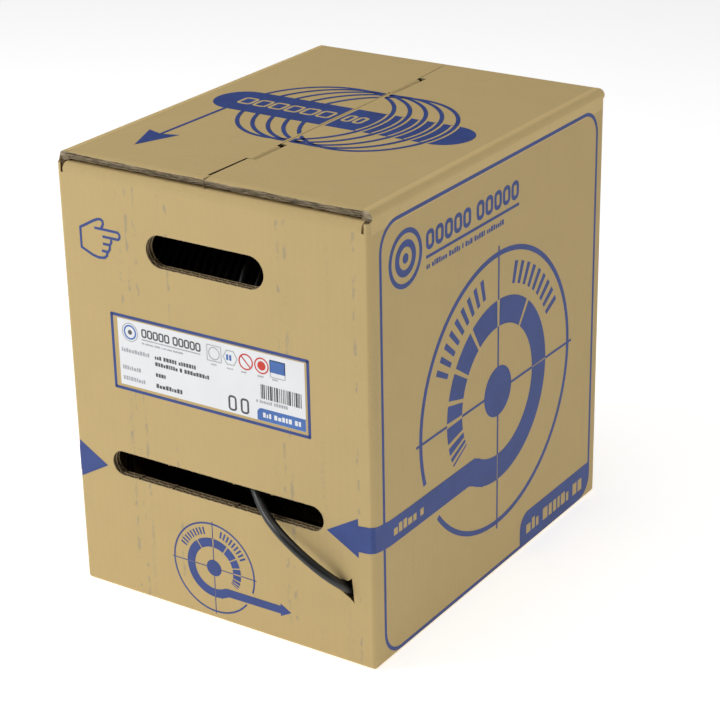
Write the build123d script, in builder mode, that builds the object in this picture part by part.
from build123d import *
from math import pi, radians, sqrt, tan
import os

# Cable spool box: a double-wall corrugated carton that holds a reel of data cable.
# The reel turns on a paper axle tube, and the cable is pulled out through a slot in the front.
# Millimetres. X runs to the right across the front, Y to the back and Z up.
# The origin is the middle of the carton's footprint, on the floor.

# Carton
carton_width = 262
carton_depth = 330
carton_height = 340
board = 7                   # BC double-wall corrugated board
corner_radius = 3           # outside of an upright corner
crease_radius = 5           # outside of a folded edge
floor_radius = 3            # outside of the edge on the floor
corner_post = 3.5           # wall left standing at each upright corner
fold_notch = 2              # open notch between a short fold's end and the corner post
slip = 0.3                  # play between pieces that are not glued
glue_tab_width = 35
glue_tab_margin = 4         # left free at its top and bottom

# Top flaps: the long ones meet at a seam, with two lock tongues folded down from the left one
flap_setback = 5            # the long flaps stop short of the front wall's face
left_flap_edge = [
    (-4.9, -160), (-4.9, -153), (-7.4, -152), (-6.4, -108), (-4.2, -108),
    (-4.2, -70), (-5.6, 74), (-7.3, 77), (-7.3, 117), (-9.9, 165),
]
right_flap_edge = [
    (-4.3, -160), (-4.3, -153), (-4.9, -152), (-4.5, -109), (1.7, -109), (1.7, -70),
    (-3.6, -70), (-5, 76), (-1.3, 76), (-1.3, 122), (-7, 122), (-9.3, 165),
]
tongue_depth = 25
tongue_reach = 4.5          # how far a tongue stands past its flap's edge
tongue_crease = 4           # outside of a tongue's fold
tongues = {                 # right face, and span along the seam
    "front": (0.3, (-108, -75)),
    "back": (-2.8, (77, 117)),
}
tongue_slot_left = 1        # room round a tongue in its slot in the short flap
tongue_slot_right = 3
tongue_slot_end = 1.5
bottom_seam_x = -4.5
bottom_seam_gap = 1
short_flap_length = 131

# Cut-outs: hand holes front and back, the pull slot and the notch that parks the cable's end
hand_hole_length = 101
hand_hole_height = 25
hand_hole_x = -4.1
hand_hole_z = 281.6
hand_flap_gap = 0.4         # between the flap and its crease line
hand_flap_trim = 1.6        # how much lower the flap is than its hole, to swing through it
pull_slot_length = 188
pull_slot_height = 20
pull_slot_x = -3.9
pull_slot_z = 107.4
nick_length = 1.6           # board left by the perforation round the pull slot
nick_reach = 0.8
top_nicks = [-45, 13, 46]
bottom_nicks = [-75, -44, 12]
notch_corners = [(98.5, 59.5), (110.5, 52.8), (114.2, 49.5), (112.5, 69.2), (109, 66.2), (103, 66.2)]
notch_skin = 1.5            # board that keeps the notch's outline; behind it the flutes are crushed
crushed_corners = [(98, 66), (98, 44), (114.2, 44), (112.5, 69.2)]
lock_tab_thickness = 3      # the flutes are crushed where the cable pushed it in
lock_tab_length = 14
lock_tab_x = 95
lock_tab_bottom = 44
lock_tab_top = 66

# Paper label on the front
label_width = 162
label_height = 51.5
label_thickness = 0.15
label_x = -3.5
label_z = 198.7

# Reel, with its axis along X
axle_height = 170
axle_radius = 20
axle_wall = 4
pad_depth = 240
pad_top = 318
pad_clearance = 0.5
flange_radius = 150
flange_thickness = 4
reel_half_length = 108      # to the outer face of a flange
core_radius = 55
core_wall = 5
bush_radius = 26
bush_collar_radius = 30
bush_collar = 2.5
bush_length = 18
running_gap = 0.4
press_gap = 0.05
tie_circle = 40
tie_radius = 3
tie_hole_radius = 3.2
tie_count = 3
washer_radius = 8
washer_thickness = 1.2
nut_width = 10
nut_height = 5
head_height = 4
thread_end = 1

# Cable
cable_diameter = 6.8
cable_length = 250000
winding_slack = 0.1         # between the winding and each flange
cord_fit = 0.45             # share of the shorter run that an arc takes at each corner
# From the top of the winding, down its front, out of the slot, and back in at the notch
tail_route = [
    (-6, -25.6, 315.6),
    (-6, -56.6, 310.1),
    (-5, -108.7, 275),
    (-1.5, -142, 221.7),
    (1.5, -150.4, 180),
    (3.5, -149.8, 157),
    (8.5, -148.8, 138),
    (17.5, -150.8, 119.5),
    (30.5, -160.6, 108.5),
    (45, -170.2, 101.2),
    (63, -178, 94.5),
    (82, -178.6, 83),
    (98, -175.5, 72),
    (107, -166.5, 61.5),
    (109, -153, 51),
    (109, -140, 42),
]

# Worked out from the above
half_width = carton_width / 2
half_depth = carton_depth / 2
inner_x = half_width - board
inner_y = half_depth - board
long_flap_z = carton_height - board
short_flap_z = carton_height - 2 * board
front_face = Plane.XZ.offset(half_depth)
back_face = Plane.XZ.offset(-half_depth)
hand_hole_top = hand_hole_z + hand_hole_height / 2
flange_inner_x = reel_half_length - flange_thickness
winding_half = flange_inner_x - winding_slack
winding_inner = core_radius + press_gap
winding_radius = sqrt(
    winding_inner**2 + cable_length * cable_diameter**2 / (pi * 2 * winding_half)
)
side_names = {-1: "left", 1: "right"}

os.makedirs("parts", exist_ok=True)


def save(piece, name):
    """Label a finished piece and write it to its own file."""
    piece.part.label = name
    export_step(piece.part, f"parts/{name}.step")


def slab(x_span, y_span, z_span):
    """An upright rectangular piece of board between three pairs of limits."""
    with BuildPart() as piece:
        with BuildSketch(Plane.XY.offset(z_span[0])):
            with Locations((sum(x_span) / 2, sum(y_span) / 2)):
                Rectangle(x_span[1] - x_span[0], y_span[1] - y_span[0])
        extrude(amount=z_span[1] - z_span[0])
    return piece


def ring(start_x, end_x, outer_radius, inner_radius):
    """A plain ring round the reel's axis, from one X to another."""
    with BuildPart() as piece:
        with BuildSketch(Plane.YZ.offset(start_x)):
            with Locations((0, axle_height)):
                Circle(outer_radius)
                Circle(inner_radius, mode=Mode.SUBTRACT)
        extrude(amount=end_x - start_x)
    return piece


# Carton sleeve: four walls in one wrap, with raised side walls that carry the long flaps
with BuildPart() as carton_sleeve:
    with BuildSketch():
        RectangleRounded(carton_width, carton_depth, corner_radius)
        Rectangle(2 * inner_x, 2 * inner_y, mode=Mode.SUBTRACT)
    extrude(amount=short_flap_z)
    fillet(carton_sleeve.faces().sort_by(Axis.Z)[0].outer_wire().edges(), floor_radius)
    with BuildSketch(Plane.XY.offset(short_flap_z)):
        RectangleRounded(carton_width, carton_depth, corner_radius)
        Rectangle(2 * inner_x, 2 * inner_y, mode=Mode.SUBTRACT)
        with Locations((0, inner_y + board / 2), (0, -inner_y - board / 2)):
            Rectangle(carton_width - 2 * corner_post, board, mode=Mode.SUBTRACT)
    extrude(amount=board)
    # hand hole, pull slot and cable notch through the front wall
    with BuildSketch(front_face):
        with Locations((hand_hole_x, hand_hole_z)):
            SlotOverall(hand_hole_length, hand_hole_height)
        with Locations((pull_slot_x, pull_slot_z)):
            SlotOverall(pull_slot_length, pull_slot_height)
        with Locations([(x, pull_slot_z + pull_slot_height / 2) for x in top_nicks]):
            Rectangle(nick_length, 2 * nick_reach, mode=Mode.SUBTRACT)
        with Locations([(x, pull_slot_z - pull_slot_height / 2) for x in bottom_nicks]):
            Rectangle(nick_length, 2 * nick_reach, mode=Mode.SUBTRACT)
        with BuildLine():
            Polyline(*notch_corners, close=True)
        make_face()
    extrude(amount=-board, mode=Mode.SUBTRACT)
    with BuildSketch(front_face.offset(-notch_skin)):
        with BuildLine():
            Polyline(*crushed_corners, close=True)
        make_face()
    extrude(amount=notch_skin - board, mode=Mode.SUBTRACT)
    # hand hole through the back wall, turned half round from the front one
    with BuildSketch(back_face):
        with Locations((-hand_hole_x, hand_hole_z)):
            SlotOverall(hand_hole_length, hand_hole_height)
    extrude(amount=board, mode=Mode.SUBTRACT)
save(carton_sleeve, "carton_sleeve")

# Glue tab: the end of the wrap, folded inside the back wall at the left corner
save(
    slab(
        (slip - inner_x, glue_tab_width - inner_x),
        (inner_y - board, inner_y),
        (2 * board + glue_tab_margin, short_flap_z - glue_tab_margin),
    ),
    "glue_tab",
)


def long_flap(side, free_edge):
    """A long top flap, folded over from the left (side -1) or right (side 1) wall to its free edge."""
    with BuildPart() as piece:
        with BuildSketch(Plane.XY.offset(long_flap_z)):
            with BuildLine():
                Polyline(
                    (side * half_width, flap_setback - half_depth),
                    *free_edge,
                    (side * half_width, half_depth),
                    close=True,
                )
            make_face()
        extrude(amount=board)
        hinge_edges = piece.edges().filter_by(Axis.Y).group_by(Axis.X)[0 if side < 0 else -1]
        fillet(hinge_edges.sort_by(Axis.Z)[-1], crease_radius)
    return piece


save(long_flap(-1, left_flap_edge), "top_flap_left")
save(long_flap(1, right_flap_edge), "top_flap_right")

# Lock tongues: cut from the left flap and folded down at the seam
for name, (tongue_right, span) in tongues.items():
    tongue_left = tongue_right - board
    flap_edge = tongue_right - tongue_reach
    with BuildPart() as lock_tongue:
        with BuildSketch(Plane.XZ.offset(-span[0])):
            with BuildLine():
                Polyline(
                    (flap_edge, carton_height),
                    (tongue_right, carton_height),
                    (tongue_right, carton_height - tongue_depth),
                    (tongue_left, carton_height - tongue_depth),
                    (tongue_left, long_flap_z),
                    (flap_edge, long_flap_z),
                    close=True,
                )
            make_face()
        extrude(amount=span[0] - span[1])
        fold = lock_tongue.edges().filter_by(Axis.Y).group_by(Axis.X)[-1].sort_by(Axis.Z)[-1]
        fillet(fold, tongue_crease)
    save(lock_tongue, f"lock_tongue_{name}")


def short_flap(end, tongue):
    """A short top flap folded in from the front (end -1) or back (end 1) wall."""
    tongue_right, tongue_span = tongue
    slot_left = tongue_right - board - tongue_slot_left
    slot_right = tongue_right + tongue_slot_right
    slot_length = tongue_span[1] - tongue_span[0] + 2 * tongue_slot_end
    with BuildPart() as piece:
        with BuildSketch(Plane.XY.offset(short_flap_z)):
            with Locations((0, end * (inner_y + board / 2))):
                Rectangle(carton_width - 2 * (corner_post + fold_notch), board)
            with Locations((0, end * (half_depth - short_flap_length / 2))):
                Rectangle(2 * (inner_x - slip), short_flap_length)
            with Locations(((slot_left + slot_right) / 2, sum(tongue_span) / 2)):
                Rectangle(slot_right - slot_left, slot_length, mode=Mode.SUBTRACT)
        extrude(amount=board)
        fold_edges = piece.edges().filter_by(Axis.X).group_by(Axis.Y)[0 if end < 0 else -1]
        fillet(fold_edges.sort_by(Axis.Z)[-1], crease_radius)
    return piece


save(short_flap(-1, tongues["front"]), "top_flap_front")
save(short_flap(1, tongues["back"]), "top_flap_back")

# Bottom flaps: the long pair on the floor, glued to the short pair above it
floor_x = inner_x - slip
floor_y = inner_y - slip
bottom_left_edge = bottom_seam_x - bottom_seam_gap / 2
bottom_right_edge = bottom_seam_x + bottom_seam_gap / 2
save(slab((-floor_x, bottom_left_edge), (-floor_y, floor_y), (0, board)), "bottom_flap_left")
save(slab((bottom_right_edge, floor_x), (-floor_y, floor_y), (0, board)), "bottom_flap_right")
short_floor = short_flap_length - board
save(
    slab((-floor_x, floor_x), (-floor_y, short_floor - floor_y), (board, 2 * board)),
    "bottom_flap_front",
)
save(
    slab((-floor_x, floor_x), (floor_y - short_floor, floor_y), (board, 2 * board)),
    "bottom_flap_back",
)


def hand_flap(plane, centre_x):
    """The board cut free at a hand hole, folded in and up flat against the wall's inner face."""
    flap_height = hand_hole_height - hand_flap_trim
    with BuildPart() as piece:
        with BuildSketch(plane):
            with Locations((centre_x, hand_hole_top + hand_flap_gap + flap_height / 2)):
                SlotOverall(hand_hole_length - 2 * hand_flap_trim, flap_height)
        extrude(amount=board - slip)
    return piece


save(hand_flap(Plane.XZ.offset(inner_y - board), hand_hole_x), "hand_flap_front")
save(hand_flap(Plane.XZ.offset(slip - inner_y), -hand_hole_x), "hand_flap_back")

# Lock tab: the board at the notch, cut free and pushed in square to the wall by the cable
save(
    slab(
        (lock_tab_x, lock_tab_x + lock_tab_thickness),
        (slip - inner_y, slip - inner_y + lock_tab_length),
        (lock_tab_bottom, lock_tab_top),
    ),
    "cable_lock_tab",
)

# Label: printed paper stuck to the front wall
with BuildPart() as front_label:
    with BuildSketch(front_face):
        with Locations((label_x, label_z)):
            Rectangle(label_width, label_height)
    extrude(amount=label_thickness)
save(front_label, "front_label")

# Axle tube across the carton, and the pads that carry its ends
save(
    ring(pad_clearance - inner_x, inner_x - pad_clearance, axle_radius, axle_radius - axle_wall),
    "axle_tube",
)
pad_outer_x = inner_x - pad_clearance
for side, name in side_names.items():
    with BuildPart() as side_pad:
        with BuildSketch(Plane.YZ.offset(side * pad_outer_x)):
            with Locations((0, (2 * board + pad_top) / 2)):
                Rectangle(pad_depth, pad_top - 2 * board)
            with Locations((0, axle_height)):
                Circle(axle_radius + press_gap, mode=Mode.SUBTRACT)
        extrude(amount=-side * board)
    save(side_pad, f"side_pad_{name}")

# Reel: paper core, two hardboard flanges and a plastic hub bush in each
save(ring(-flange_inner_x, flange_inner_x, core_radius, core_radius - core_wall), "reel_core")
for side, name in side_names.items():
    with BuildPart() as flange:
        with BuildSketch(Plane.YZ.offset(side * flange_inner_x)):
            with Locations((0, axle_height)):
                Circle(flange_radius)
                Circle(bush_radius + press_gap, mode=Mode.SUBTRACT)
                with PolarLocations(tie_circle, tie_count):
                    Circle(tie_hole_radius, mode=Mode.SUBTRACT)
        extrude(amount=side * flange_thickness)
    save(flange, f"reel_flange_{name}")
    with BuildPart() as hub_bush:
        with BuildSketch(Plane.YZ.offset(side * reel_half_length)):
            with Locations((0, axle_height)):
                Circle(bush_collar_radius)
        extrude(amount=side * bush_collar)
        with BuildSketch(Plane.YZ.offset(side * reel_half_length)):
            with Locations((0, axle_height)):
                Circle(bush_radius)
        extrude(amount=-side * bush_length)
        with BuildSketch(Plane.YZ.offset(side * (reel_half_length + bush_collar))):
            with Locations((0, axle_height)):
                Circle(axle_radius + running_gap)
        extrude(amount=-side * (bush_collar + bush_length), mode=Mode.SUBTRACT)
    save(hub_bush, f"hub_bush_{name}")

# Tie bolts hold the flanges to the core: heads on the left, nuts on the right
washer_face = reel_half_length + washer_thickness
with BuildPart() as tie_bolts:
    with BuildSketch(Plane.YZ.offset(-washer_face)):
        with Locations((0, axle_height)):
            with PolarLocations(tie_circle, tie_count):
                RegularPolygon(nut_width / 2, 6, major_radius=False)
    extrude(amount=-head_height)
    with BuildSketch(Plane.YZ.offset(-washer_face)):
        with Locations((0, axle_height)):
            with PolarLocations(tie_circle, tie_count):
                Circle(tie_radius)
    extrude(amount=2 * washer_face + nut_height + thread_end)
save(tie_bolts, "tie_bolts")

with BuildPart() as tie_nuts:
    with BuildSketch(Plane.YZ.offset(washer_face)):
        with Locations((0, axle_height)):
            with PolarLocations(tie_circle, tie_count):
                RegularPolygon(nut_width / 2, 6, major_radius=False)
                Circle(tie_radius + press_gap, mode=Mode.SUBTRACT)
    extrude(amount=nut_height)
save(tie_nuts, "tie_nuts")

with BuildPart() as tie_washers:
    for side in side_names:
        with BuildSketch(Plane.YZ.offset(side * reel_half_length)):
            with Locations((0, axle_height)):
                with PolarLocations(tie_circle, tie_count):
                    Circle(washer_radius)
                    Circle(tie_hole_radius, mode=Mode.SUBTRACT)
        extrude(amount=side * washer_thickness)
save(tie_washers, "tie_washers")

# Cable on the reel: the outer shape of its turns
save(ring(-winding_half, winding_half, winding_radius, winding_inner), "cable_winding")


def corner_radii(route):
    """The arc at each corner: as large as the shorter of its two runs allows."""
    points = [Vector(*point) for point in route]
    radii = []
    for before, corner, after in zip(points, points[1:], points[2:]):
        run_in = corner - before
        run_out = after - corner
        half_turn = radians(run_in.get_angle(run_out)) / 2
        radii.append(cord_fit * min(run_in.length, run_out.length) / tan(half_turn))
    return radii


# Cable tail: the free end of the cable
tail_radii = corner_radii(tail_route)
with BuildPart() as cable_tail:
    with BuildLine():
        tail_path = FilletPolyline(*tail_route, radius=tail_radii)
    with BuildSketch(Plane(origin=tail_path @ 0, z_dir=tail_path % 0)):
        Circle(cable_diameter / 2)
    sweep()
save(cable_tail, "cable_tail")

tail_volume = pi * cable_diameter**2 / 4 * tail_path.length
print("winding radius", round(winding_radius, 1))
print("tail radii", [round(radius, 1) for radius in tail_radii])
print("tail length", round(tail_path.length, 1))
print("tail volume over section times length", round(cable_tail.part.volume / tail_volume, 4))
